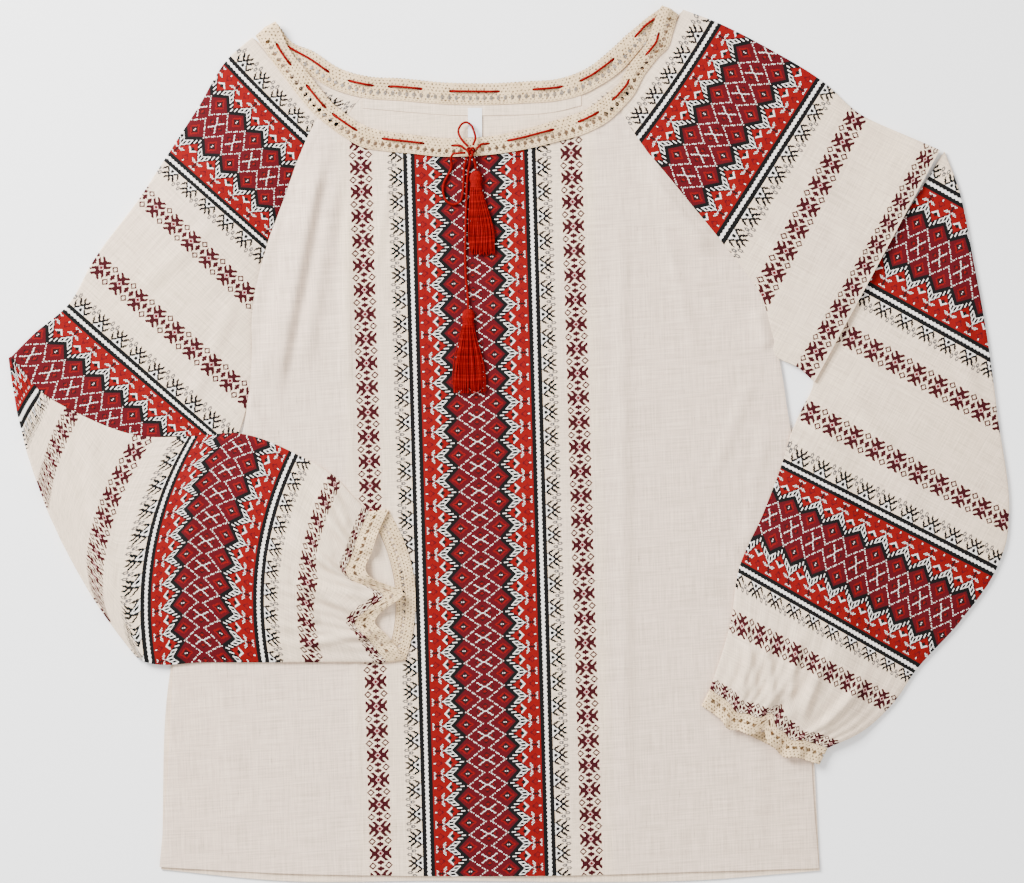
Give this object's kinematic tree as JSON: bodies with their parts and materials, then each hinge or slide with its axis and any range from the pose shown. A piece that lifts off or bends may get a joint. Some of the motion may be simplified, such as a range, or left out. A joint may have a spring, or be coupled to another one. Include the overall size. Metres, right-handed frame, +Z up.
{
  "type": "embroidered raglan blouse",
  "caption": "Loose raglan blouse laid flat, with woven bands, gathered lace neck and cuffs, and a tasselled drawstring.",
  "frame": {"origin": "middle of the laid-out blouse, on the surface it lies on", "axes": "+X to the viewer's right, +Y towards the neck, +Z up off the surface"},
  "size_m": [0.7996, 0.7004, 0.0133],
  "materials": {
    "linen": "plain woven linen with fine slubs",
    "woven_band": "linen with woven red and black bands",
    "lace": "ecru crochet lace",
    "red_cord": "twisted cotton cord and tassels",
    "label": "small plain woven label"
  },
  "bodies": {
    "root": {"back_panel": "linen", "front_panel": "linen", "sleeve_left": "woven_band", "sleeve_right_upper": "woven_band", "sleeve_right_lower": "woven_band", "neck_lace": "lace", "cuff_lace_left": "lace", "cuff_lace_right": "lace", "drawstring": "red_cord", "cord_knot": "red_cord", "cord_loop_top": "red_cord", "cord_loop_left": "red_cord", "cord_tail_long": "red_cord", "cord_tail_short": "red_cord", "tassel_upper": "red_cord", "tassel_lower": "red_cord", "neck_label": "label"}
  },
  "joints": []
}
